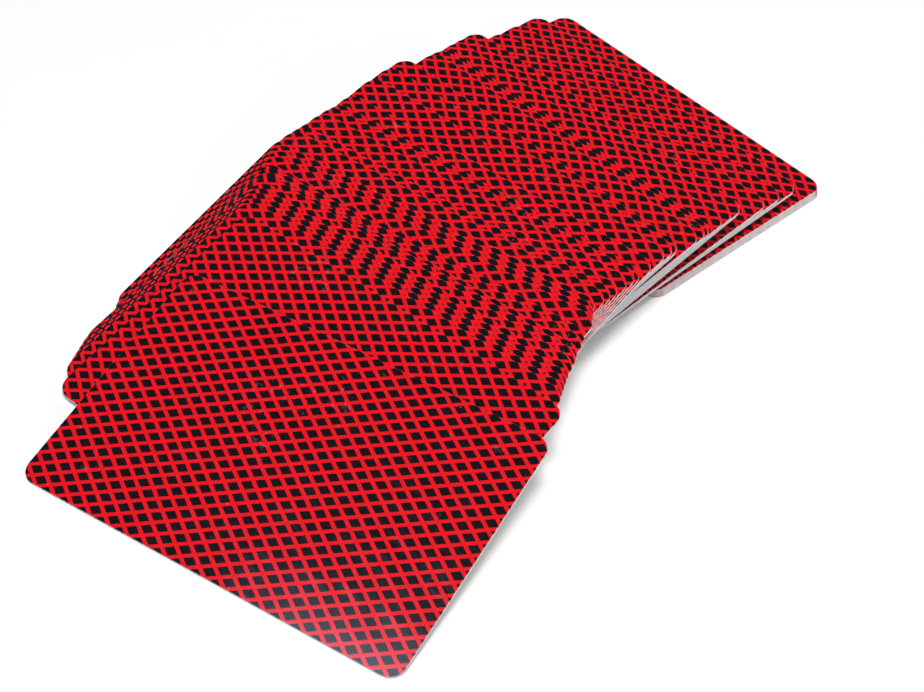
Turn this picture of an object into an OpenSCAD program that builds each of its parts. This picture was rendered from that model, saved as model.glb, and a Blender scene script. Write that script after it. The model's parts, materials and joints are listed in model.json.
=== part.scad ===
// A deck of playing cards swept into a curved, leaning ribbon, backs up.
// The lowest cards lie flat and squared on the table. Every later card, or
// pair of cards, is pushed on towards the near end (-Y), turns a little, and
// leans on the cards before it. A card's own frame has its long side along X,
// its trailing edge at +Y and its printed back on top.

/* [Card] */
// Length of a card's long side
card_l = 88; // [84:0.5:92]
// Length of a card's short side
card_w = 57; // [54:0.5:63]
// Thickness of the card stock
card_t = 0.29; // [0.25:0.01:0.33]
// Radius of the die-cut corners
corner_r = 3.5; // [2:0.5:5]
// Air between two cards that lie on each other
lay_gap = 0.03; // [0.02:0.01:0.05]

/* [Squared foot] */
// Sideways slip from one card of the foot to the next
foot_slip = -0.1; // [-0.5:0.1:0.5]

/* [First pair] */
// Push of the first pair past the foot
first_step = 8.3; // [6:0.1:10]
// Turn of the first pair against the foot, in degrees
first_turn = 0.65; // [0:0.05:1.5]
// Sideways slip of the first pair against the foot
first_slip = -0.9; // [-2:0.1:0]

/* [Low pairs] */
// Way that the next pairs are pushed on in all, almost flat on the foot
low_reach = 11.3; // [9:0.1:13]
// Turn from pair to pair, in degrees
low_turn = 0.75; // [0:0.05:1]
// Sideways slip from pair to pair
low_slip = 0.15; // [-1:0.05:1]
// Lean of these pairs and of the first pair, in degrees
low_lean = 3; // [1:0.5:4]

/* [Far pairs] */
// Way that the pairs between the foot and the bend are pushed on in all
far_reach = 24.5; // [20:0.1:28]
// Turn from pair to pair, in degrees
far_turn = -0.15; // [-0.2:0.05:0.6]
// Sideways slip from pair to pair
far_slip = 0.1; // [-1:0.05:1]
// Lean of these pairs, in degrees
far_lean = 8.5; // [5:0.5:9]
// Step between the two cards of a pair, here and in the other pairs
pair_fan = 0.2; // [0.1:0.1:0.8]

/* [Bend pairs] */
// Way that the pairs that make most of the curve are pushed on in all
bend_reach = 21.3; // [17:0.1:25]
// Turn from pair to pair, in degrees
bend_turn = 2; // [1:0.05:3]
// Sideways slip from pair to pair
bend_slip = 0.8; // [-1:0.05:1]
// Lean shared by all the cards from the bend to the near end, in degrees
ribbon_lean = 10.5; // [9.5:0.5:11]

/* [Near cards] */
// Way that the single cards after the bend are pushed on in all
near_reach = 18.8; // [15:0.1:23]
// Turn from card to card, in degrees
near_turn = 0.4; // [0:0.05:0.6]
// Sideways slip from card to card
near_slip = -0.2; // [-0.5:0.05:0.5]

/* [Slipped cards] */
// Way that the few single cards which slip inwards are pushed on in all
slipped_reach = 5; // [4:0.1:7]
// Turn from card to card, in degrees
slipped_turn = 0.3; // [0:0.05:0.5]
// Sideways slip from card to card
slipped_slip = 0.95; // [0:0.05:1.2]

/* [Loose cards] */
// Way that the single cards which turn back are pushed on in all
loose_reach = 9.4; // [7:0.1:12]
// Turn back from card to card, in degrees
loose_turn = -0.75; // [-0.9:0.05:0]
// Sideways slip from card to card
loose_slip = 0.35; // [0:0.05:1]

/* [Close cards] */
// Way that the single cards of the last close run are pushed on in all
close_reach = 8.5; // [6:0.1:11]
// Turn from card to card, in degrees
close_turn = 0.05; // [-0.2:0.05:0.2]
// Sideways slip from card to card
close_slip = 0.7; // [0:0.05:1]

/* [Second card] */
// Push of the card that lies under the top card
second_step = 3.5; // [2:0.1:5]
// Turn of that card, in degrees
second_turn = 0.15; // [-0.2:0.05:0.2]
// Sideways slip of that card
second_slip = 2.55; // [0:0.05:3]

/* [Top card] */
// Push of the top card past the card below it
top_step = 13.9; // [10:0.1:17]
// Turn of the top card, in degrees
top_turn = 8.2; // [4:0.1:10]
// Sideways slip of the top card
top_slip = 5.9; // [0:0.1:9]
// Lean of the top card, in degrees
top_lean = 10.3; // [9:0.1:10.5]

/* [Hidden] */
SUITS = ["spades", "diamonds", "clubs", "hearts"];
RANKS = ["ace", "two", "three", "four", "five", "six", "seven", "eight",
         "nine", "ten", "jack", "queen", "king"];
NODES = concat(
    ["plain_joker", "colour_joker"],
    [for (suit = SUITS) for (rank = RANKS) str(rank, "_of_", suit)]);

CARD_RED = [0.80, 0.02, 0.04];
$fn = 64;
EDGE_ON = 1e-9;

// A hand sweeps a deck unevenly. These are the shares that the pushes of a
// section take of its reach, set by hand to the nearest half from the widths
// of the strips in the photograph. The first push onto a steeper plane is
// longer than the strip that it leaves in view.
LOW_SHARES = [1, 1];
FAR_SHARES = [9, 3, 3, 4, 1.5, 2.5];
BEND_SHARES = [8, 3, 4, 6];
NEAR_SHARES = [3.5, 1.5, 2.5, 3, 2, 2, 3];
SLIPPED_SHARES = [1, 1, 1];
LOOSE_SHARES = [3.5, 1.5, 2, 1, 1.5];
CLOSE_SHARES = [2, 1.5, 1.5, 1.5, 1.5];

// Direction that each plane of cards leans about, as a turn from the foot.
far_axis = first_turn + len(LOW_SHARES) * low_turn + len(FAR_SHARES) * far_turn;
ribbon_axis = far_axis + len(BEND_SHARES) * bend_turn;
top_axis = ribbon_axis + len(NEAR_SHARES) * near_turn + len(SLIPPED_SHARES) * slipped_turn
    + len(LOOSE_SHARES) * loose_turn + len(CLOSE_SHARES) * close_turn + second_turn + top_turn;

// Moves of the cards that are pushed on one by one, or two by two. The second
// card of a pair only fans out. A move is [step, turn, slip, lean, axis].
function total(list) = list * [for (item = list) 1];
function single_cards(shares, reach, turn, slip, lean, axis) =
    [for (share = shares) [reach * share / total(shares), turn, slip, lean, axis]];
function pairs(shares, reach, turn, slip, lean, axis) =
    [for (first = single_cards(shares, reach, turn, slip, lean, axis))
        each [first - [pair_fan, 0, 0, 0, 0], [pair_fan, 0, 0, lean, axis]]];

PUSHED = concat(
    pairs([1], first_step, first_turn, first_slip, low_lean, 0),
    pairs(LOW_SHARES, low_reach, low_turn, low_slip, low_lean, 0),
    pairs(FAR_SHARES, far_reach, far_turn, far_slip, far_lean, far_axis),
    pairs(BEND_SHARES, bend_reach, bend_turn, bend_slip, ribbon_lean, ribbon_axis),
    single_cards(NEAR_SHARES, near_reach, near_turn, near_slip, ribbon_lean, ribbon_axis),
    single_cards(SLIPPED_SHARES, slipped_reach, slipped_turn, slipped_slip, ribbon_lean, ribbon_axis),
    single_cards(LOOSE_SHARES, loose_reach, loose_turn, loose_slip, ribbon_lean, ribbon_axis),
    single_cards(CLOSE_SHARES, close_reach, close_turn, close_slip, ribbon_lean, ribbon_axis),
    [[second_step, second_turn, second_slip, ribbon_lean, ribbon_axis],
     [top_step, top_turn, top_slip, top_lean, top_axis]]);

// The foot takes the cards that the rest of the spread leaves over.
foot_cards = len(NODES) - len(PUSHED);
MOVES = concat([for (k = [1 : foot_cards]) [0, 0, foot_slip, 0, 0]], PUSHED);

// A laid card is [place on the table, height, yaw, lean, axis]. Its place and
// height are those of the middle of its face, which looks down.
function place(card) = card[0];
function height(card) = card[1];
function yaw(card) = card[2];
function lean(card) = card[3];
function axis(card) = card[4];

function along(a) = [cos(a), sin(a)];
function across(a) = [-sin(a), cos(a)];
function slope(card) = tan(lean(card)) * across(axis(card));

// The card's long and short directions, seen from above.
function long_way(card) = let (d = yaw(card) - axis(card))
    cos(d) * along(axis(card)) + sin(d) * cos(lean(card)) * across(axis(card));
function short_way(card) = let (d = yaw(card) - axis(card))
    -sin(d) * along(axis(card)) + cos(d) * cos(lean(card)) * across(axis(card));

function corners(card) = [for (q = [[-1, -1], [1, -1], [1, 1], [-1, 1]])
    place(card) + q.x * card_l / 2 * long_way(card) + q.y * card_w / 2 * short_way(card)];

// Where the straight line from p to q lies over a card, as two points or none.
function in_card(card, p) = let (d = p - place(card), e = long_way(card), f = short_way(card))
    [cross(d, f), cross(e, d)] / cross(e, f);
function within(from, run, half) = abs(run) < EDGE_ON
    ? (abs(from) <= half ? [0, 1] : [1, 0])
    : let (t = [(-half - from) / run, (half - from) / run]) [min(t), max(t)];
function over(p, q, card) =
    let (a = in_card(card, p), run = in_card(card, q) - a,
         s = within(a.x, run.x, card_l / 2), t = within(a.y, run.y, card_w / 2),
         first = max(0, s[0], t[0]), last = min(1, s[1], t[1]))
    first <= last ? [p + first * (q - p), p + last * (q - p)] : [];
function shared_area(a, b) = [for (pair = [[a, b], [b, a]])
    let (c = corners(pair[0]))
    for (i = [0 : 3]) each over(c[i], c[(i + 1) % 4], pair[1])];

// A card comes to rest on the table or on the card below, whichever is higher.
function on_table(card) = max([for (p = corners(card)) -slope(card) * (p - place(card))]);
function on_card(card, below) =
    let (rise = (card_t + lay_gap) / cos(max(lean(card), lean(below))))
    max([for (p = shared_area(card, below))
        height(below) + slope(below) * (p - place(below)) + rise - slope(card) * (p - place(card))]);
function lay(move, below) =
    let (middle_turn = yaw(below) + move[1] / 2,
         spot = place(below) - move[0] * across(middle_turn) + move[2] * along(middle_turn),
         card = [spot, 0, yaw(below) + move[1], move[3], move[4]])
    [spot, max(on_table(card), on_card(card, below)), yaw(card), lean(card), axis(card)];

FIRST = [[0, 0], 0, 0, 0, 0];
SPREAD = [for (i = 0, card = FIRST; i < len(NODES);
               i = i + 1, card = i < len(NODES) ? lay(MOVES[i], card) : card) card];

// Half the reach of a card along X and Y from its middle, with its round corners.
function reach(card) = let (e = long_way(card), f = short_way(card))
    [for (k = [0, 1]) (card_l / 2 - corner_r) * abs(e[k]) + (card_w / 2 - corner_r) * abs(f[k])
        + corner_r * norm([e[k], f[k]])];
function top_shift(card) = -card_t * sin(lean(card)) * across(axis(card));
low_end = [for (k = [0, 1])
    min([for (c = SPREAD) place(c)[k] - reach(c)[k] + min(0, top_shift(c)[k])])];
high_end = [for (k = [0, 1])
    max([for (c = SPREAD) place(c)[k] + reach(c)[k] + max(0, top_shift(c)[k])])];
centre = (low_end + high_end) / 2;

module card_outline() {
    square([card_l - 2 * corner_r, card_w], center = true);
    square([card_l, card_w - 2 * corner_r], center = true);
    for (x = [-1, 1], y = [-1, 1])
        translate([x * (card_l / 2 - corner_r), y * (card_w / 2 - corner_r)])
            circle(r = corner_r);
}

module playing_card(card) {
    color(CARD_RED)
        translate(concat(place(card) - centre, height(card)))
            rotate(axis(card))
                rotate([lean(card), 0, 0])
                    rotate(yaw(card) - axis(card))
                        linear_extrude(card_t)
                            card_outline();
}

for (i = [0 : len(NODES) - 1])
    playing_card(SPREAD[i]);
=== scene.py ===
"""Looks of a deck of playing cards swept into a curved, leaning ribbon, backs up.

Every card is modelled in its own frame, in metres, and then set where its solid lies.
That frame has the card's long side along X, its trailing edge at +Y and its printed
back on top, so its face looks down.
"""

import json
import logging
import math
import random
from dataclasses import dataclass, field
from enum import Enum, IntEnum
from typing import Dict, List, Optional, Sequence, Tuple, Union

import bmesh
import bpy
from mathutils import Matrix, Vector


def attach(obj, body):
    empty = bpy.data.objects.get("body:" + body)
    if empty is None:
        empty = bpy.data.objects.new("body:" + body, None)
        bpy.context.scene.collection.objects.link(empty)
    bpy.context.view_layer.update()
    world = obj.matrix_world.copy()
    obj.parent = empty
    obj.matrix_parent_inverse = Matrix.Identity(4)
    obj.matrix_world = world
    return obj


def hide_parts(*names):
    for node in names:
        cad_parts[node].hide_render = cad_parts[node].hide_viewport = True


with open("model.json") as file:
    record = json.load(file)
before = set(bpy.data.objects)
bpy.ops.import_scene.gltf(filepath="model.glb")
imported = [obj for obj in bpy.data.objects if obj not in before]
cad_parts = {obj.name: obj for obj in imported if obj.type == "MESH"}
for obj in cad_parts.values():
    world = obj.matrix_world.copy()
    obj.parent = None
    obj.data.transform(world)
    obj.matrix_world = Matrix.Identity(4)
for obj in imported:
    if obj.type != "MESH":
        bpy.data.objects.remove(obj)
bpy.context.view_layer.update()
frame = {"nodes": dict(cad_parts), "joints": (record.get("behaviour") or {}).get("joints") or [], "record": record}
LOG = logging.getLogger("card_deck")

MM = 0.001
IMAGE_WIDTH = 924
RELIEF_DEPTH = 0.02 * MM
LEAST_WIDTH = 1e-6
CARD_MAP = "card"
PRINT_MAP = "print"

Colour = Tuple[float, float, float, float]
Point = Tuple[float, float]
Socket = bpy.types.NodeSocket
Feed = Union[Socket, float, Colour, Tuple[float, float, float]]


class Layer(IntEnum):
    """Material slots of a card, in the order in which they are filled."""

    BACK = 0
    FACE = 1
    EDGE = 2
    RED_INK = 3
    BLACK_INK = 4


class Suit(Enum):
    """The four suits, by the word that a card's name ends with."""

    SPADES = "spades"
    DIAMONDS = "diamonds"
    CLUBS = "clubs"
    HEARTS = "hearts"

    @property
    def ink(self) -> Layer:
        """The ink that the suit is printed with."""
        return Layer.RED_INK if self in (Suit.DIAMONDS, Suit.HEARTS) else Layer.BLACK_INK


class Rank(Enum):
    """The ranks of a suit: the index in the corners, and the pips or the crown's points."""

    ACE = ("ace", "A", 1, 0)
    TWO = ("two", "2", 2, 0)
    THREE = ("three", "3", 3, 0)
    FOUR = ("four", "4", 4, 0)
    FIVE = ("five", "5", 5, 0)
    SIX = ("six", "6", 6, 0)
    SEVEN = ("seven", "7", 7, 0)
    EIGHT = ("eight", "8", 8, 0)
    NINE = ("nine", "9", 9, 0)
    TEN = ("ten", "10", 10, 0)
    JACK = ("jack", "J", 0, 3)
    QUEEN = ("queen", "Q", 0, 4)
    KING = ("king", "K", 0, 5)

    def __init__(self, word: str, index: str, pips: int, points: int) -> None:
        """Keeps the rank's own facts.

        Args:
            word: The word that a card's name starts with.
            index: What is printed in the corners.
            pips: How many pips stand on the face.
            points: How many points the crown has on a court card.
        """
        self.word = word
        self.index = index
        self.pips = pips
        self.points = points


@dataclass(frozen=True)
class Grain:
    """A noise, and the soft step that turns it into a mask.

    Its scale is in grains to the metre, and its stretch makes it finer along each axis.
    """

    scale: float
    octaves: float
    start: float = 0.0
    end: float = 1.0
    most: float = 1.0
    stretch: Optional[Tuple[float, float, float]] = None


@dataclass
class NodeSheet:
    """A shader node tree that is filled step by step."""

    tree: bpy.types.NodeTree

    def add(self, kind: str, **settings: object) -> bpy.types.Node:
        """Adds a node.

        Args:
            kind: The node's type.
            settings: Properties to set on it.

        Returns:
            The new node.
        """
        node = self.tree.nodes.new(kind)
        for name, value in settings.items():
            setattr(node, name, value)
        return node

    def feed(self, socket: Socket, value: Feed) -> None:
        """Joins a socket to another, or sets its own value.

        Args:
            socket: The input.
            value: An output to join it to, or a plain value.
        """
        if isinstance(value, bpy.types.NodeSocket):
            self.tree.links.new(value, socket)
        else:
            socket.default_value = value

    def math(self, operation: str, first: Feed, second: Optional[Feed] = None) -> Socket:
        """Adds one sum.

        Args:
            operation: The operation, in Blender's words.
            first: Its first number.
            second: Its second number, where it takes one.

        Returns:
            The result.
        """
        node = self.add("ShaderNodeMath", operation=operation)
        self.feed(node.inputs[0], first)
        if second is not None:
            self.feed(node.inputs[1], second)
        return node.outputs[0]

    def fade(self, value: Feed, start: float, end: float, low: float = 0.0, high: float = 1.0) -> Socket:
        """Turns a value into another by a soft step.

        Args:
            value: What is read.
            start: Where the step starts.
            end: Where it ends.
            low: The result before the step.
            high: The result after it.

        Returns:
            The result.
        """
        node = self.add("ShaderNodeMapRange", interpolation_type="SMOOTHSTEP")
        self.feed(node.inputs["Value"], value)
        node.inputs["From Min"].default_value = start
        node.inputs["From Max"].default_value = end
        node.inputs["To Min"].default_value = low
        node.inputs["To Max"].default_value = high
        return node.outputs["Result"]

    def blend(self, share: Feed, first: Feed, second: Feed) -> Socket:
        """Mixes two colours.

        Args:
            share: How much of the second is taken.
            first: The first colour.
            second: The second colour.

        Returns:
            The mixed colour.
        """
        node = self.add("ShaderNodeMix", data_type="RGBA", clamp_factor=True)
        self.feed(node.inputs[0], share)
        self.feed(node.inputs[6], first)
        self.feed(node.inputs[7], second)
        return node.outputs[2]

    def noise(self, place: Feed, grain: Grain) -> Socket:
        """Adds a noise.

        Args:
            place: The coordinates it is read at.
            grain: How fine it is.

        Returns:
            The noise, about 0.5.
        """
        if grain.stretch is not None:
            mapping = self.add("ShaderNodeMapping", vector_type="POINT")
            self.feed(mapping.inputs["Vector"], place)
            mapping.inputs["Scale"].default_value = grain.stretch
            place = mapping.outputs["Vector"]
        node = self.add("ShaderNodeTexNoise", noise_dimensions="3D")
        self.feed(node.inputs["Vector"], place)
        node.inputs["Scale"].default_value = grain.scale
        node.inputs["Detail"].default_value = grain.octaves
        return node.outputs["Fac"]

    def mask(self, place: Feed, grain: Grain) -> Socket:
        """Adds a noise and turns it into a soft mask.

        Args:
            place: The coordinates it is read at.
            grain: How fine the noise is, and where the mask sets in.

        Returns:
            The mask, from nothing to the grain's most.
        """
        return self.fade(self.noise(place, grain), grain.start, grain.end, 0.0, grain.most)

    def split(self, vector: Feed) -> Tuple[Socket, Socket]:
        """Splits a vector.

        Args:
            vector: The vector.

        Returns:
            Its first two parts.
        """
        node = self.add("ShaderNodeSeparateXYZ")
        self.feed(node.inputs[0], vector)
        return node.outputs[0], node.outputs[1]

    def effect(self, group: bpy.types.NodeTree, **inputs: Feed) -> bpy.types.Node:
        """Places a shared effect.

        Args:
            group: The effect's node group.
            inputs: What its inputs take, by name.

        Returns:
            The placed node.
        """
        node = self.add("ShaderNodeGroup", node_tree=group)
        for name, value in inputs.items():
            self.feed(node.inputs[name], value)
        return node


@dataclass
class EffectGroup:
    """A shader effect that several finishes share, with named inputs and outputs."""

    name: str
    inputs: Sequence[Tuple[str, str]]
    outputs: Sequence[Tuple[str, str]]

    def open(self) -> Tuple[NodeSheet, bpy.types.Node, bpy.types.Node]:
        """Makes the empty group.

        Returns:
            Its sheet, its input node and its output node.
        """
        tree = bpy.data.node_groups.new(self.name, "ShaderNodeTree")
        for way, sockets in (("INPUT", self.inputs), ("OUTPUT", self.outputs)):
            for name, kind in sockets:
                tree.interface.new_socket(name=name, in_out=way, socket_type=kind)
        sheet = NodeSheet(tree)
        return sheet, sheet.add("NodeGroupInput"), sheet.add("NodeGroupOutput")


VECTOR = "NodeSocketVector"
NUMBER = "NodeSocketFloat"


@dataclass(frozen=True)
class CardBlank:
    """Sizes of a cut card before it is printed, measured on one of the solids."""

    length: float
    width: float
    thickness: float
    corner: float
    corner_steps: int = 8
    edge_round: float = 0.03 * MM
    edge_steps: int = 2

    def plate(self, register: Vector) -> bmesh.types.BMesh:
        """Models the bare card, centred on the origin.

        Args:
            register: How far the print lies off the cut.

        Returns:
            A closed plate with round corners and softly rounded cut edges, with its layers and map set.
        """
        bm = bmesh.new()
        bmesh.ops.create_grid(bm, x_segments=1, y_segments=1, size=0.5)
        bmesh.ops.scale(bm, vec=(self.length, self.width, 1.0), verts=bm.verts)
        bmesh.ops.bevel(bm, geom=bm.verts[:], offset=self.corner, offset_type="OFFSET", affect="VERTICES",
                        segments=self.corner_steps, profile=0.5, material=-1)
        bmesh.ops.translate(bm, vec=(0.0, 0.0, -self.thickness / 2), verts=bm.verts)
        raised = bmesh.ops.extrude_face_region(bm, geom=bm.faces[:])["geom"]
        top = [part for part in raised if isinstance(part, bmesh.types.BMVert)]
        bmesh.ops.translate(bm, vec=(0.0, 0.0, self.thickness), verts=top)
        bmesh.ops.recalc_face_normals(bm, faces=bm.faces)
        rims = [edge for edge in bm.edges if abs(edge.verts[0].co.z - edge.verts[1].co.z) < self.edge_round]
        bmesh.ops.bevel(bm, geom=rims, offset=self.edge_round, offset_type="OFFSET", affect="EDGES",
                        segments=self.edge_steps, profile=0.5, material=-1)
        self._set_layers(bm)
        self._set_map(bm, register)
        return bm

    def _set_layers(self, bm: bmesh.types.BMesh) -> None:
        """Gives the back, the face and the cut edge their own material slots.

        Args:
            bm: The plate.
        """
        printed = 0.6
        level = 0.99
        for face in bm.faces:
            face.material_index = Layer.EDGE
            if face.normal.z > printed:
                face.material_index = Layer.BACK
            elif face.normal.z < -printed:
                face.material_index = Layer.FACE
            face.smooth = abs(face.normal.z) < level

    def _set_map(self, bm: bmesh.types.BMesh, register: Vector) -> None:
        """Maps the card: its length is one unit, and a cut edge's second part runs through the stock.

        Args:
            bm: The plate.
            register: How far the print lies off the cut.
        """
        card_map = bm.loops.layers.uv.new(CARD_MAP)
        print_map = bm.loops.layers.uv.new(PRINT_MAP)
        for face in bm.faces:
            for loop in face.loops:
                place = loop.vert.co
                flat = Vector((place.x + self.length / 2, place.y + self.width / 2))
                loop[card_map].uv = flat / self.length
                loop[print_map].uv = (flat + register) / self.length
                if face.material_index == Layer.EDGE:
                    loop[card_map].uv = ((place.x + place.y) / self.length, place.z / self.thickness + 0.5)


@dataclass(frozen=True)
class Placement:
    """Where a card lies, read from its solid."""

    matrix: Matrix
    blank: CardBlank

    @classmethod
    def read(cls, node: bpy.types.Object, outward: Vector) -> "Placement":
        """Finds a card's own axes, its middle and its sizes.

        Args:
            node: The card's solid.
            outward: The direction in which the card is drawn, along its long side.

        Returns:
            The card's placement.
        """
        long_way = -outward.normalized()
        largest = max(node.data.polygons, key=lambda polygon: polygon.area)
        normal = largest.normal.copy()
        if normal.z < 0.0:
            normal.negate()
        short_way = normal.cross(long_way).normalized()
        normal = long_way.cross(short_way)
        axes = (long_way, short_way, normal)
        spans = [[vertex.co.dot(axis) for vertex in node.data.vertices] for axis in axes]
        middle = sum((axis * (min(span) + max(span)) / 2 for axis, span in zip(axes, spans)), Vector())
        sizes = [max(span) - min(span) for span in spans]
        matrix = Matrix((long_way, short_way, normal)).transposed().to_4x4()
        matrix.translation = middle
        flush = 0.01 * MM
        near_side = max(spans[1]) - flush
        straight = max(u for u, v in zip(spans[0], spans[1]) if v > near_side)
        return cls(matrix, CardBlank(sizes[0], sizes[1], sizes[2], max(spans[0]) - straight))


@dataclass(frozen=True)
class LatticeBack:
    """The printed back: a full-bleed lattice of near-black diamonds on red, under a gloss coating."""

    red: Colour = (0.90, 0.006, 0.014, 1.0)
    dull_red: Colour = (0.72, 0.006, 0.014, 1.0)
    black: Colour = (0.008, 0.003, 0.006, 1.0)
    # Pale stock colour: real wear on the rubbed rims, and a painted highlight on the inner short end.
    bare: Colour = (0.80, 0.74, 0.75, 1.0)
    dust: Colour = (0.55, 0.52, 0.54, 1.0)
    half_long: float = 2.271 * MM
    half_short: float = 1.568 * MM
    phase_long: float = 0.05
    phase_short: float = -0.13
    diamond_share: float = 0.70
    softness: float = 0.03
    mottle: Grain = Grain(260.0, 3.0, 0.3, 0.7, 0.10)
    roughness: float = 0.12
    haze: float = 0.06
    rim_wear: float = 0.04 * MM

    def lattice(self, blank: CardBlank) -> bpy.types.NodeTree:
        """Builds the lattice as a shared effect.

        Args:
            blank: The card's sizes.

        Returns:
            A group that reads the print's map and puts out the mask of the diamonds.
        """
        effect = EffectGroup("Diamond lattice", [("Print", VECTOR)], [("Diamond", NUMBER)])
        sheet, taken, given = effect.open()
        u, v = sheet.split(taken.outputs["Print"])
        long_steps = sheet.math("MULTIPLY", u, blank.length / self.half_long)
        short_steps = sheet.math("MULTIPLY", v, blank.length / self.half_short)
        a = sheet.math("SUBTRACT", long_steps, self.phase_long)
        b = sheet.math("SUBTRACT", short_steps, self.phase_short)
        rising = sheet.math("MULTIPLY", sheet.math("SUBTRACT", sheet.math("ADD", a, b), 1.0), 0.5)
        falling = sheet.math("MULTIPLY", sheet.math("ADD", sheet.math("SUBTRACT", a, b), 1.0), 0.5)
        off_rising = sheet.math("PINGPONG", rising, 0.5)
        off_falling = sheet.math("PINGPONG", falling, 0.5)
        away = sheet.math("MAXIMUM", off_rising, off_falling)
        edge = self.diamond_share / 2
        diamond = sheet.fade(away, edge - self.softness, edge + self.softness, 1.0, 0.0)
        sheet.feed(given.inputs["Diamond"], diamond)
        return sheet.tree

    def material(self, effects: "SharedEffects") -> bpy.types.Material:
        """Builds the back's finish.

        Args:
            effects: The effects that it shares with the other finishes.

        Returns:
            The material.
        """
        finish = Finish.begin("printed_back")
        sheet = finish.sheet
        printed = sheet.add("ShaderNodeUVMap", uv_map=PRINT_MAP).outputs["UV"]
        diamond = sheet.effect(self.lattice(effects.blank), Print=printed).outputs["Diamond"]
        wear = finish.wear(effects, self.rim_wear)
        red = sheet.blend(sheet.mask(finish.place, self.mottle), self.red, self.dull_red)
        inked = sheet.blend(diamond, red, self.black)
        # The rubbed rim is real wear; the inner short end is part rub and part painted highlight, both in the pale
        # stock colour.
        rubbed = sheet.math("MAXIMUM", wear.outputs["Rim"], wear.outputs["End"])
        worn_and_highlit = sheet.blend(rubbed, inked, self.bare)
        sheet.feed(finish.shader.inputs["Base Color"], sheet.blend(wear.outputs["Dust"], worn_and_highlit, self.dust))
        finish.gloss(wear.outputs["Scuff"], self.roughness, self.haze)
        finish.emboss(effects)
        return finish.material


@dataclass(frozen=True)
class StockFace:
    """The printed face's bare ground: smooth white stock under the same coating."""

    white: Colour = (0.84, 0.83, 0.80, 1.0)
    soiled: Colour = (0.70, 0.67, 0.61, 1.0)
    cloud: Grain = Grain(45.0, 3.0, 0.45, 0.75, 0.25)
    roughness: float = 0.34
    haze: float = 0.12
    rim_wear: float = 0.35 * MM
    rim_soil: float = 0.8

    def material(self, effects: "SharedEffects") -> bpy.types.Material:
        """Builds the face's finish.

        Args:
            effects: The effects that it shares with the other finishes.

        Returns:
            The material.
        """
        finish = Finish.begin("white_face")
        sheet = finish.sheet
        wear = finish.wear(effects, self.rim_wear)
        cloud = sheet.mask(finish.place, self.cloud)
        rim = sheet.math("MULTIPLY", wear.outputs["Rim"], self.rim_soil)
        soil = sheet.math("MAXIMUM", cloud, rim)
        sheet.feed(finish.shader.inputs["Base Color"], sheet.blend(soil, self.white, self.soiled))
        finish.gloss(wear.outputs["Scuff"], self.roughness, self.haze)
        finish.emboss(effects)
        return finish.material


@dataclass(frozen=True)
class CutEdge:
    """The die-cut edge: pale layered stock with a grey glue line and rubbed-off soil."""

    pale: Colour = (0.84, 0.83, 0.84, 1.0)
    soiled: Colour = (0.60, 0.57, 0.59, 1.0)
    glue: Colour = (0.30, 0.29, 0.33, 1.0)
    glue_share: float = 0.16
    glue_most: float = 0.55
    fibres: Grain = Grain(900.0, 3.0, 0.35, 0.75, 0.6, (1.0, 1.0, 6.0))
    roughness: float = 0.62
    fuzz_roughness: float = 0.85
    fuzz_start: float = 0.2
    fuzz_end: float = 0.8
    relief: float = 0.25

    def material(self) -> bpy.types.Material:
        """Builds the cut edge's finish.

        Returns:
            The material.
        """
        finish = Finish.begin("cut_edge")
        sheet = finish.sheet
        _, through = sheet.split(finish.card)
        off_middle = sheet.math("ABSOLUTE", sheet.math("SUBTRACT", through, 0.5))
        glue = sheet.fade(off_middle, 0.0, self.glue_share, self.glue_most, 0.0)
        fibres = sheet.noise(finish.place, self.fibres)
        soil = sheet.fade(fibres, self.fibres.start, self.fibres.end, 0.0, self.fibres.most)
        stock = sheet.blend(soil, self.pale, self.soiled)
        sheet.feed(finish.shader.inputs["Base Color"], sheet.blend(glue, stock, self.glue))
        rough = sheet.fade(fibres, self.fuzz_start, self.fuzz_end, self.roughness, self.fuzz_roughness)
        sheet.feed(finish.shader.inputs["Roughness"], rough)
        finish.relief(fibres, self.relief)
        return finish.material


@dataclass(frozen=True)
class PrintInk:
    """A solid printing ink on a face, a little uneven."""

    name: str
    colour: Colour
    thin: Colour
    thinning: Grain = Grain(700.0, 4.0, 0.5, 0.8, 0.35)
    roughness: float = 0.36
    thin_roughness: float = 0.5

    def material(self, effects: "SharedEffects") -> bpy.types.Material:
        """Builds the ink's finish.

        Args:
            effects: The effects that it shares with the other finishes.

        Returns:
            The material.
        """
        finish = Finish.begin(self.name)
        sheet = finish.sheet
        thinned = sheet.mask(finish.place, self.thinning)
        sheet.feed(finish.shader.inputs["Base Color"], sheet.blend(thinned, self.colour, self.thin))
        rough = sheet.fade(thinned, 0.0, self.thinning.most, self.roughness, self.thin_roughness)
        sheet.feed(finish.shader.inputs["Roughness"], rough)
        finish.emboss(effects)
        return finish.material


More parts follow.
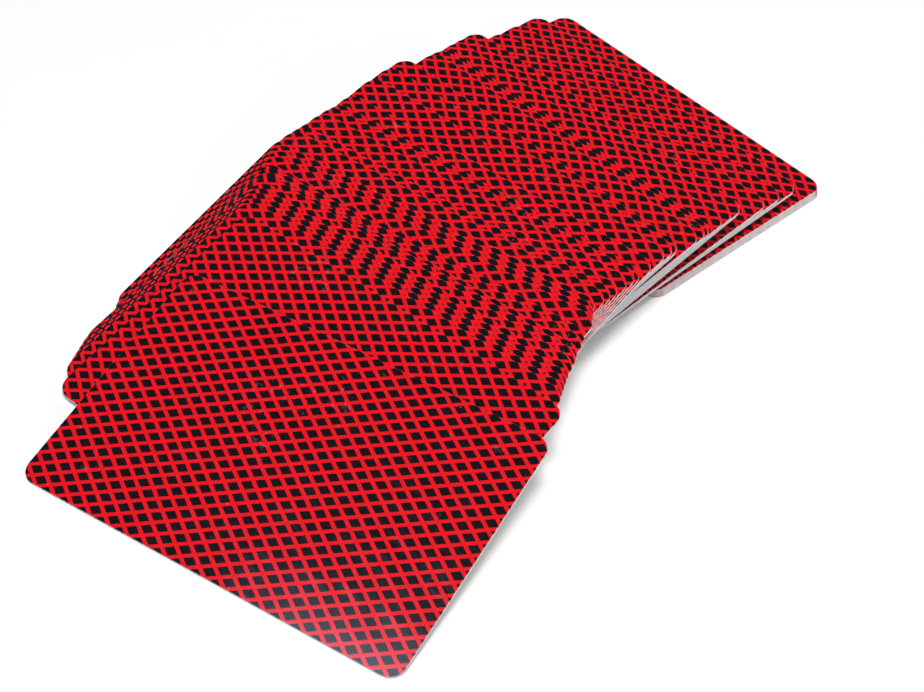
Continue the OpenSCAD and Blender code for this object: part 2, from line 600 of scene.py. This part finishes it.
@dataclass
class Finish:
    """A material under way, with its shader and the coordinates that it reads."""

    material: bpy.types.Material
    sheet: NodeSheet
    shader: bpy.types.Node
    card: Socket
    place: Socket

    @classmethod
    def begin(cls, name: str) -> "Finish":
        """Starts a material.

        Args:
            name: The material's name.

        Returns:
            The material with its Principled shader joined to the output.
        """
        material = bpy.data.materials.new(name)
        material.use_nodes = True
        sheet = NodeSheet(material.node_tree)
        shader = material.node_tree.nodes["Principled BSDF"]
        card = sheet.add("ShaderNodeUVMap", uv_map=CARD_MAP).outputs["UV"]
        place = sheet.add("ShaderNodeTexCoord").outputs["Object"]
        return cls(material, sheet, shader, card, place)

    def wear(self, effects: "SharedEffects", width: float) -> bpy.types.Node:
        """Places the handling wear.

        Args:
            effects: The shared effects.
            width: How wide the rubbed rim is.

        Returns:
            The placed effect.
        """
        share = width / effects.blank.length
        return self.sheet.effect(effects.wear, Card=self.card, Place=self.place, Width=share)

    def gloss(self, scuff: Socket, roughness: float, haze: float) -> None:
        """Sets the coating's roughness, a little duller where it is scuffed.

        Args:
            scuff: The mask of the scuffs.
            roughness: The roughness of the clean coating.
            haze: How much a scuff adds to it.
        """
        dulled = self.sheet.math("MULTIPLY", scuff, haze)
        self.sheet.feed(self.shader.inputs["Roughness"], self.sheet.math("ADD", dulled, roughness))

    def relief(self, height: Socket, strength: float) -> None:
        """Gives the surface a fine relief.

        Args:
            height: The relief's height.
            strength: How much of it shows.
        """
        bump = self.sheet.add("ShaderNodeBump")
        bump.inputs["Strength"].default_value = strength
        bump.inputs["Distance"].default_value = RELIEF_DEPTH
        self.sheet.feed(bump.inputs["Height"], height)
        self.sheet.feed(self.shader.inputs["Normal"], bump.outputs["Normal"])

    def emboss(self, effects: "SharedEffects") -> None:
        """Gives the surface the coating's fine emboss.

        Args:
            effects: The shared effects.
        """
        placed = self.sheet.effect(effects.emboss, Card=self.card, Place=self.place)
        self.relief(placed.outputs["Height"], effects.emboss_strength)


@dataclass
class SharedEffects:
    """Effects that the printed surfaces share: handling wear with a painted highlight on the inner short end, and
    the coating's emboss.
    """

    blank: CardBlank
    fray: Grain = Grain(1400.0, 3.0)
    rub_start: float = 0.6
    rub_end: float = 1.6
    rim_most: float = 0.5
    # Width and strength of the inner short end's pale band: partly rubbed stock, partly a painted highlight.
    end_rub_and_highlight_reach: float = 0.22 * MM
    end_rub_and_highlight_most: float = 0.85
    speck_scale: float = 900.0
    speck_share: float = 0.98
    speck_core: float = 0.06
    speck_reach: float = 0.13
    speck_most: float = 0.6
    handled: Grain = Grain(70.0, 2.0, 0.57, 0.70)
    smudge: Grain = Grain(800.0, 3.0, 0.58, 0.72, 0.12)
    streak: Grain = Grain(120.0, 4.0, 0.45, 0.75, stretch=(1.0, 5.0, 1.0))
    emboss_pitch: float = 0.45 * MM
    emboss_strength: float = 0.12
    thread_height: float = 0.15
    orange_peel: Grain = Grain(380.0, 2.0)
    wear: bpy.types.NodeTree = field(init=False)
    emboss: bpy.types.NodeTree = field(init=False)

    def __post_init__(self) -> None:
        """Builds both groups."""
        self.wear = self._wear_and_end_highlight()
        self.emboss = self._emboss()

    def _wear_and_end_highlight(self) -> bpy.types.NodeTree:
        """Builds rubbed rims, the inner short end (rubbed by riffling and lightened further as a painted
        highlight), dust, smudges and fine scuffs.

        Returns:
            A group that reads the card's map, its place and the rim's width.
        """
        effect = EffectGroup("Handling wear and end highlight", [("Card", VECTOR), ("Place", VECTOR), ("Width", NUMBER)],
                             [("Rim", NUMBER), ("End", NUMBER), ("Dust", NUMBER), ("Scuff", NUMBER)])
        sheet, taken, given = effect.open()
        place = taken.outputs["Place"]
        inside = self._depth(sheet, taken.outputs["Card"])
        fray = sheet.noise(place, self.fray)
        rim_width = sheet.math("MULTIPLY", fray, taken.outputs["Width"])
        sheet.feed(given.inputs["Rim"], self._rubbed(sheet, inside, rim_width, self.rim_most))
        # Inner short end: a pale band that is partly rubbed stock and partly a painted highlight.
        along, _ = sheet.split(taken.outputs["Card"])
        from_end = sheet.math("SUBTRACT", 1.0, along)
        end_rub_and_highlight_width = sheet.math("MULTIPLY", fray, self.end_rub_and_highlight_reach / self.blank.length)
        sheet.feed(given.inputs["End"], self._rubbed(sheet, from_end, end_rub_and_highlight_width, self.end_rub_and_highlight_most))
        smudges = sheet.math("MULTIPLY", sheet.mask(place, self.handled), sheet.mask(place, self.smudge))
        sheet.feed(given.inputs["Dust"], sheet.math("MAXIMUM", self._specks(sheet, place), smudges))
        sheet.feed(given.inputs["Scuff"], sheet.mask(place, self.streak))
        return sheet.tree

    def _rubbed(self, sheet: NodeSheet, depth: Socket, width: Socket, most: float) -> Socket:
        """Works out where a ragged border is rubbed through.

        Args:
            sheet: The group's sheet.
            depth: How far a point lies from the edge.
            width: How wide the border is there.
            most: How much is rubbed off at the edge.

        Returns:
            The mask of the border.
        """
        reach = sheet.math("DIVIDE", depth, sheet.math("MAXIMUM", width, LEAST_WIDTH))
        return sheet.fade(reach, self.rub_start, self.rub_end, most, 0.0)

    def _specks(self, sheet: NodeSheet, place: Socket) -> Socket:
        """Scatters specks of dust.

        Args:
            sheet: The group's sheet.
            place: The coordinates they are scattered by.

        Returns:
            The mask of the specks.
        """
        cells = sheet.add("ShaderNodeTexVoronoi", feature="F1", voronoi_dimensions="3D")
        sheet.feed(cells.inputs["Vector"], place)
        cells.inputs["Scale"].default_value = self.speck_scale
        lot, _ = sheet.split(cells.outputs["Color"])
        speck = sheet.fade(cells.outputs["Distance"], self.speck_core, self.speck_reach, self.speck_most, 0.0)
        chosen = sheet.math("GREATER_THAN", lot, self.speck_share)
        return sheet.math("MULTIPLY", speck, chosen)

    def _depth(self, sheet: NodeSheet, card: Socket) -> Socket:
        """Works out how far a point lies inside the card's round-cornered outline.

        Args:
            sheet: The group's sheet.
            card: The card's map.

        Returns:
            The depth, in units of the map.
        """
        unit = self.blank.length
        corner = self.blank.corner / unit
        past = []
        for part, size in zip(sheet.split(card), (self.blank.length, self.blank.width)):
            off = sheet.math("ABSOLUTE", sheet.math("SUBTRACT", part, size / unit / 2))
            past.append(sheet.math("SUBTRACT", off, size / unit / 2 - corner))
        squares = [sheet.math("POWER", sheet.math("MAXIMUM", part, 0.0), 2.0) for part in past]
        outer = sheet.math("SQRT", sheet.math("ADD", squares[0], squares[1]))
        inner = sheet.math("MINIMUM", sheet.math("MAXIMUM", past[0], past[1]), 0.0)
        return sheet.math("SUBTRACT", corner, sheet.math("ADD", outer, inner))

    def _emboss(self) -> bpy.types.NodeTree:
        """Builds the coating's fine cloth-like emboss.

        Returns:
            A group that puts out the relief's height.
        """
        effect = EffectGroup("Coating emboss", [("Card", VECTOR), ("Place", VECTOR)], [("Height", NUMBER)])
        sheet, taken, given = effect.open()
        waves = math.tau * self.blank.length / self.emboss_pitch
        threads = [sheet.math("SINE", sheet.math("MULTIPLY", part, waves))
                   for part in sheet.split(taken.outputs["Card"])]
        cloth = sheet.math("MULTIPLY", sheet.math("ADD", threads[0], threads[1]), self.thread_height)
        orange_peel = sheet.noise(taken.outputs["Place"], self.orange_peel)
        sheet.feed(given.inputs["Height"], sheet.math("ADD", cloth, orange_peel))
        return sheet.tree


@dataclass
class PrintSet:
    """The finishes of a card, made once for the whole deck."""

    blank: CardBlank
    back: LatticeBack = LatticeBack()
    face: StockFace = StockFace()
    edge: CutEdge = CutEdge()
    red: PrintInk = PrintInk("red_ink", (0.66, 0.012, 0.02, 1.0), (0.78, 0.16, 0.15, 1.0))
    black: PrintInk = PrintInk("black_ink", (0.010, 0.010, 0.012, 1.0), (0.06, 0.06, 0.065, 1.0))

    def materials(self) -> List[bpy.types.Material]:
        """Builds every finish.

        Returns:
            The materials, in the order of Layer.
        """
        effects = SharedEffects(self.blank)
        return [self.back.material(effects), self.face.material(effects), self.edge.material(),
                self.red.material(effects), self.black.material(effects)]


def arc(centre: Point, radius: float, start: float, end: float, steps: int) -> List[Point]:
    """Points along an arc.

    Args:
        centre: The arc's middle.
        radius: Its radius.
        start: The angle where it starts, in degrees.
        end: The angle where it ends.
        steps: How many steps it has.

    Returns:
        The points, both ends included.
    """
    angles = [math.radians(start + (end - start) * step / steps) for step in range(steps + 1)]
    return [(centre[0] + radius * math.cos(angle), centre[1] + radius * math.sin(angle)) for angle in angles]


def heart_outline() -> List[Point]:
    """The heart, about one unit high, as the usual closed curve."""
    points = []
    steps = 36
    half = 0.52
    raised = 0.07
    for step in range(1, steps):
        turn = math.tau * step / steps
        across = math.sin(turn) ** 3
        up = (13 * math.cos(turn) - 5 * math.cos(2 * turn) - 2 * math.cos(3 * turn) - math.cos(4 * turn)) / 16
        points.append((half * across, half * up + raised))
    return points


STEM: Tuple[Point, ...] = ((-0.05, -0.12), (-0.22, -0.50), (0.22, -0.50), (0.05, -0.12))


def spade_outline() -> List[Point]:
    """The spade: a heart upside down, open at its notch, where the flared stem runs out of it."""
    opening = 3
    wide = 0.98
    high = 0.86
    raised = 0.05
    leaf = [(wide * x, raised - high * y) for x, y in heart_outline()]
    return leaf[opening:-opening] + list(STEM[1:3])


def diamond_outline() -> List[Point]:
    """The diamond, with faintly hollow sides."""
    points = []
    steps = 32
    hollow = 2.15
    half_wide = 0.39
    half_high = 0.52
    for step in range(steps):
        turn = math.tau * step / steps
        across = math.copysign(abs(math.cos(turn)) ** hollow, math.cos(turn))
        up = math.copysign(abs(math.sin(turn)) ** hollow, math.sin(turn))
        points.append((half_wide * across, half_high * up))
    return points


def club_outline() -> List[Point]:
    """The club: three round leaves on a flared stem."""
    out = 0.25
    radius = 0.235
    raised = 0.05
    steps = 10
    to_stem = 75.0
    to_next = 150.0
    half_apart = out * math.sqrt(3.0) / 2
    meet = to_next - math.degrees(math.acos(half_apart / radius))
    points: List[Point] = []
    for angle, start, end in ((-30.0, -to_stem, meet), (90.0, -meet, meet), (210.0, -meet, to_stem)):
        centre = (out * math.cos(math.radians(angle)), raised + out * math.sin(math.radians(angle)))
        points += arc(centre, radius, angle + start, angle + end, steps)
    return points + list(STEM)


def crown_outline(points: int) -> List[Point]:
    """A plain crown.

    Args:
        points: How many points it has.

    Returns:
        Its outline, one unit wide.
    """
    half = 0.42
    foot = -0.30
    band = 0.16
    shoulder = foot + band
    tip = 0.34
    dip = -0.02
    outline: List[Point] = [(-half, foot), (half, foot), (half, shoulder)]
    for step in range(2 * points - 1):
        across = 0.5 - step / (2 * points - 2)
        outline.append((across, tip if step % 2 == 0 else dip))
    return outline + [(-half, shoulder)]


def star_outline() -> List[Point]:
    """A five-pointed star."""
    points = []
    steps = 10
    tip = 0.52
    dip = 0.21
    upright = 0.25
    for step in range(steps):
        turn = math.tau * (step / steps + upright)
        reach = tip if step % 2 == 0 else dip
        points.append((reach * math.cos(turn), reach * math.sin(turn)))
    return points


SUIT_OUTLINES = {Suit.SPADES: spade_outline, Suit.DIAMONDS: diamond_outline,
                 Suit.CLUBS: club_outline, Suit.HEARTS: heart_outline}


@dataclass
class FacePrint:
    """What is printed on a card's face: the indices, and pips, a crown or a star."""

    blank: CardBlank
    film: float = 0.008 * MM
    pip: float = 11.5 * MM
    ace_pip: float = 24.0 * MM
    index_pip: float = 4.6 * MM
    index_height: float = 7.2 * MM
    index_in: float = 5.2 * MM
    index_down: float = 8.0 * MM
    index_pip_down: float = 14.6 * MM
    index_steps: int = 3
    index_spacing: float = 0.86
    column: float = 11.5 * MM
    row: float = 26.0 * MM
    crown: float = 25.0 * MM
    crown_up: float = 12.5 * MM
    court_pip_up: float = 27.5 * MM
    star: float = 34.0 * MM

    def spots(self, pips: int) -> List[Point]:
        """Where the pips of a plain card stand, by the usual layout.

        Args:
            pips: How many there are.

        Returns:
            Their places, as shares of the column's and the row's distance from the middle.
        """
        sides = {4: 2, 5: 2, 6: 3, 7: 3, 8: 3, 9: 4, 10: 4}.get(pips, 0)
        middles = {1: (0.0,), 2: (1.0, -1.0), 3: (1.0, 0.0, -1.0), 5: (0.0,), 7: (0.5,), 8: (0.5, -0.5),
                   9: (0.0,), 10: (2 / 3, -2 / 3)}.get(pips, ())
        rows = [1.0 - 2.0 * step / (sides - 1) for step in range(sides)]
        return [(side, row) for side in (-1.0, 1.0) for row in rows] + [(0.0, row) for row in middles]

    def stamp(self, bm: bmesh.types.BMesh, outline: Sequence[Point], spot: Point, size: float,
              ink: Layer, turned: bool) -> None:
        """Prints one closed shape as a film of ink.

        Args:
            bm: The sheet of ink.
            outline: The shape, about one unit high.
            spot: Where its middle stands, seen with the face up.
            size: Its height.
            ink: Which ink it takes.
            turned: Whether it stands upside down.
        """
        way = -1.0 if turned else 1.0
        verts = [bm.verts.new((way * size * x + spot[0], way * size * y + spot[1], 0.0)) for x, y in outline]
        face = bm.faces.new(verts)
        raised = bmesh.ops.extrude_face_region(bm, geom=[face])["geom"]
        top = [part for part in raised if isinstance(part, bmesh.types.BMVert)]
        bmesh.ops.translate(bm, vec=(0.0, 0.0, self.film), verts=top)
        shell = set(verts) | set(top)
        faces = [part for part in bm.faces if set(part.verts) <= shell]
        bmesh.ops.recalc_face_normals(bm, faces=faces)
        for part in faces:
            part.material_index = ink

    def glyph(self, bm: bmesh.types.BMesh, text: str, spot: Point, ink: Layer, turned: bool) -> None:
        """Prints an index as a film of ink.

        Args:
            bm: The sheet of ink.
            text: The index.
            spot: Where its middle stands, seen with the face up.
            ink: Which ink it takes.
            turned: Whether it stands upside down.
        """
        letters = bpy.data.curves.new("index", "FONT")
        letters.body = text
        letters.align_x = "CENTER"
        letters.align_y = "CENTER"
        letters.resolution_u = self.index_steps
        letters.size = self.index_height
        letters.space_character = self.index_spacing
        letters.extrude = self.film / 2
        carrier = bpy.data.objects.new("index", letters)
        bpy.context.scene.collection.objects.link(carrier)
        bpy.context.view_layer.update()
        evaluated = carrier.evaluated_get(bpy.context.evaluated_depsgraph_get())
        mesh = bpy.data.meshes.new_from_object(evaluated)
        bpy.data.objects.remove(carrier)
        bpy.data.curves.remove(letters)
        turn = Matrix.Rotation(math.pi if turned else 0.0, 4, "Z")
        mesh.transform(Matrix.Translation((spot[0], spot[1], self.film / 2)) @ turn)
        first = len(bm.faces)
        bm.from_mesh(mesh)
        bm.faces.ensure_lookup_table()
        for face in bm.faces[first:]:
            face.material_index = ink
            face.smooth = False
        bpy.data.meshes.remove(mesh)

    def corners(self, bm: bmesh.types.BMesh, index: str, outline: Sequence[Point], ink: Layer) -> None:
        """Prints the index and its small pip in two opposite corners.

        Args:
            bm: The sheet of ink.
            index: The index, or nothing.
            outline: The small pip.
            ink: Which ink they take.
        """
        aside = self.index_in - self.blank.width / 2
        end = self.blank.length / 2
        for way in (1.0, -1.0):
            if index:
                self.glyph(bm, index, (way * aside, way * (end - self.index_down)), ink, way < 0)
            spot = (way * aside, way * (end - self.index_pip_down))
            self.stamp(bm, outline, spot, self.index_pip, ink, way < 0)

    def suit_card(self, bm: bmesh.types.BMesh, rank: Rank, suit: Suit) -> None:
        """Prints a card of a suit.

        Args:
            bm: The sheet of ink.
            rank: The card's rank.
            suit: The card's suit.
        """
        outline = SUIT_OUTLINES[suit]()
        self.corners(bm, rank.index, outline, suit.ink)
        size = self.ace_pip if rank is Rank.ACE else self.pip
        for side, row in self.spots(rank.pips):
            self.stamp(bm, outline, (side * self.column, row * self.row), size, suit.ink, row < 0)
        if rank.points:
            for way in (1.0, -1.0):
                crown = crown_outline(rank.points)
                self.stamp(bm, crown, (0.0, way * self.crown_up), self.crown, suit.ink, way < 0)
                self.stamp(bm, outline, (0.0, way * self.court_pip_up), self.pip, suit.ink, way < 0)

    def joker(self, bm: bmesh.types.BMesh, ink: Layer) -> None:
        """Prints a joker: one large star, and a small one in two corners.

        Args:
            bm: The sheet of ink.
            ink: Which ink it takes.
        """
        self.corners(bm, "", star_outline(), ink)
        self.stamp(bm, star_outline(), (0.0, 0.0), self.star, ink, False)

    def sheet(self, name: str) -> bmesh.types.BMesh:
        """Prints one card's face.

        Args:
            name: The card's name.

        Returns:
            The ink films, set under the card in the card's own frame.
        """
        bm = bmesh.new()
        ranks = {rank.word: rank for rank in Rank}
        word, _, suit = name.partition("_of_")
        if suit:
            self.suit_card(bm, ranks[word], Suit(suit))
        else:
            self.joker(bm, Layer.RED_INK if name.startswith("colour") else Layer.BLACK_INK)
        # Seen with the face up, a card's short side runs to the right and its long side up.
        seen = Matrix(((0.0, 1.0, 0.0), (1.0, 0.0, 0.0), (0.0, 0.0, -1.0))).to_4x4()
        seen.translation = (0.0, 0.0, self.film / 2 - self.blank.thickness / 2)
        bmesh.ops.transform(bm, matrix=seen, verts=bm.verts)
        return bm


@dataclass
class PlayingCard:
    """One card: the cut plate with its printed face, set where its solid lies."""

    name: str
    body: str
    placement: Placement
    printing: FacePrint
    register: Vector

    def build(self, materials: Sequence[bpy.types.Material]) -> bpy.types.Object:
        """Models the card, dresses it and joins it to its body.

        Args:
            materials: The finishes, in the order of Layer.

        Returns:
            The card's object.
        """
        bm = self.placement.blank.plate(self.register)
        ink = self.printing.sheet(self.name)
        film = bpy.data.meshes.new("ink")
        ink.to_mesh(film)
        ink.free()
        bm.from_mesh(film)
        bpy.data.meshes.remove(film)
        bmesh.ops.transform(bm, matrix=self.placement.matrix, verts=bm.verts)
        mesh = bpy.data.meshes.new("printed_" + self.name)
        bm.to_mesh(mesh)
        bm.free()
        piece = bpy.data.objects.new("printed_" + self.name, mesh)
        bpy.context.scene.collection.objects.link(piece)
        for material in materials:
            mesh.materials.append(material)
        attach(piece, self.body)
        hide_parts(self.name)
        return piece


@dataclass
class Deck:
    """All the cards of the spread, from the bottom card to the top one."""

    pieces: List[bpy.types.Object] = field(default_factory=list)
    register_error: float = 0.12 * MM
    seed: int = 52

    def build(self) -> None:
        """Models every card of the frame."""
        held = frame["record"]["behaviour"]["bodies"]
        bodies = {node: body for body, nodes in held.items() for node in nodes}
        outward: Dict[str, Vector] = {joint["child"]: Vector(joint["axis"]) for joint in frame["joints"]}
        materials: List[bpy.types.Material] = []
        chance = random.Random(self.seed)
        # The bottom card has no joint, and its outer end looks along -X.
        bottom_way = Vector((-1.0, 0.0, 0.0))
        for part in frame["record"]["subparts"]:
            name = part["node"]
            way = outward.get(bodies[name], bottom_way)
            placement = Placement.read(frame["nodes"][name], way)
            if not materials:
                materials = PrintSet(placement.blank).materials()
            off = [chance.uniform(-self.register_error, self.register_error) for _ in range(2)]
            card = PlayingCard(name, bodies[name], placement, FacePrint(placement.blank), Vector(off))
            self.pieces.append(card.build(materials))
            middle = [round(value / MM, 2) for value in placement.matrix.translation]
            LOG.info("%s lies at %s mm", name, middle)


@dataclass(frozen=True)
class Softbox:
    """A soft studio lamp, placed by the camera's right, forward and up."""

    name: str
    right: float
    forward: float
    up: float
    wide: float
    deep: float
    power: float
    colour: Tuple[float, float, float] = (1.0, 1.0, 1.0)


@dataclass
class Studio:
    """The floor, the light and the camera."""

    look_at: Vector = field(default_factory=lambda: Vector((9.28 * MM, -4.37 * MM, 0.0)))
    distance: float = 350.1 * MM
    azimuth: float = 47.28
    elevation: float = 46.41
    roll: float = 2.41
    focal_pixels: float = 1646.9
    sensor: float = 36.0
    nearest: float = 1.0 * MM
    floor_size: float = 6.0
    floor_colour: Colour = (0.95, 0.94, 0.935, 1.0)
    floor_roughness: float = 0.9
    floor_glow: float = 0.11
    room_colour: Colour = (0.90, 0.95, 1.0, 1.0)
    room_strength: float = 0.09
    lamps: Tuple[Softbox, ...] = (
        Softbox("key_box", 0.06, -0.10, 1.10, 0.38, 0.38, 8.8),
        Softbox("window_box", -0.30, 0.10, 1.10, 0.26, 0.20, 0.9, (0.80, 0.95, 1.25)),
        Softbox("left_box", -0.85, -0.25, 0.70, 0.50, 0.50, 1.1),
        Softbox("front_box", 0.80, -0.60, 0.45, 0.60, 0.60, 1.8),
        Softbox("back_box", 0.60, 0.90, 0.35, 0.60, 0.40, 1.5),
    )

    def heading(self) -> Tuple[Vector, Vector]:
        """The camera's right and its level forward direction."""
        turn = math.radians(self.azimuth)
        right = Vector((math.cos(turn), math.sin(turn), 0.0))
        return right, Vector((-right.y, right.x, 0.0))

    def place_camera(self) -> None:
        """Makes the camera at the photograph's angle."""
        right, level = self.heading()
        rise = math.radians(self.elevation)
        forward = level * math.cos(rise) - Vector((0.0, 0.0, math.sin(rise)))
        up = right.cross(forward)
        tip = math.radians(self.roll)
        across = right * math.cos(tip) + up * math.sin(tip)
        upward = up * math.cos(tip) - right * math.sin(tip)
        data = bpy.data.cameras.new("camera")
        data.sensor_width = self.sensor
        data.lens = self.focal_pixels * self.sensor / IMAGE_WIDTH
        data.clip_start = self.nearest
        camera = bpy.data.objects.new("camera", data)
        matrix = Matrix((across, upward, -forward)).transposed().to_4x4()
        matrix.translation = self.look_at - forward * self.distance
        camera.matrix_world = matrix
        bpy.context.scene.collection.objects.link(camera)
        bpy.context.scene.camera = camera

    def place_floor(self) -> None:
        """Makes the plain pale floor that the deck lies on."""
        bm = bmesh.new()
        bmesh.ops.create_grid(bm, x_segments=1, y_segments=1, size=self.floor_size / 2)
        mesh = bpy.data.meshes.new("floor")
        bm.to_mesh(mesh)
        bm.free()
        floor = bpy.data.objects.new("floor", mesh)
        bpy.context.scene.collection.objects.link(floor)
        material = bpy.data.materials.new("white_table")
        material.use_nodes = True
        shader = material.node_tree.nodes["Principled BSDF"]
        shader.inputs["Base Color"].default_value = self.floor_colour
        shader.inputs["Roughness"].default_value = self.floor_roughness
        shader.inputs["Specular IOR Level"].default_value = 0.0
        self.whiten(NodeSheet(material.node_tree), shader)
        mesh.materials.append(material)

    def whiten(self, sheet: NodeSheet, shader: bpy.types.Node) -> None:
        """Lifts the floor to white where it is seen, straight or in a reflection, and keeps its shadows.

        Args:
            sheet: The floor's material.
            shader: Its shader.
        """
        path = sheet.add("ShaderNodeLightPath")
        seen = sheet.math("MAXIMUM", path.outputs["Is Camera Ray"], path.outputs["Is Glossy Ray"])
        seen = sheet.math("MAXIMUM", seen, path.outputs["Is Transmission Ray"])
        shader.inputs["Emission Color"].default_value = (1.0, 1.0, 1.0, 1.0)
        sheet.feed(shader.inputs["Emission Strength"], sheet.math("MULTIPLY", seen, self.floor_glow))

    def place_lamp(self, box: Softbox) -> None:
        """Hangs one soft lamp, turned to the deck.

        Args:
            box: The lamp.
        """
        right, level = self.heading()
        place = self.look_at + right * box.right + level * box.forward + Vector((0.0, 0.0, box.up))
        data = bpy.data.lights.new(box.name, "AREA")
        data.shape = "RECTANGLE"
        data.size = box.wide
        data.size_y = box.deep
        data.energy = box.power
        data.color = box.colour
        lamp = bpy.data.objects.new(box.name, data)
        lamp.matrix_world = (self.look_at - place).to_track_quat("-Z", "Y").to_matrix().to_4x4()
        lamp.location = place
        bpy.context.scene.collection.objects.link(lamp)

    def light(self) -> None:
        """Sets the even room light and hangs the lamps."""
        world = bpy.data.worlds.new("studio")
        world.use_nodes = True
        background = world.node_tree.nodes["Background"]
        background.inputs["Color"].default_value = self.room_colour
        background.inputs["Strength"].default_value = self.room_strength
        bpy.context.scene.world = world
        for box in self.lamps:
            self.place_lamp(box)

    def build(self) -> None:
        """Sets the whole studio up."""
        bpy.context.scene.view_settings.view_transform = "Standard"
        self.place_camera()
        self.place_floor()
        self.light()


def main() -> None:
    """Builds the studio and the deck."""
    logging.basicConfig(level=logging.INFO, format="%(name)s: %(message)s")
    Studio().build()
    deck = Deck()
    deck.build()
    LOG.info("%d cards dressed", len(deck.pieces))


if __name__ == "__main__":
    main()
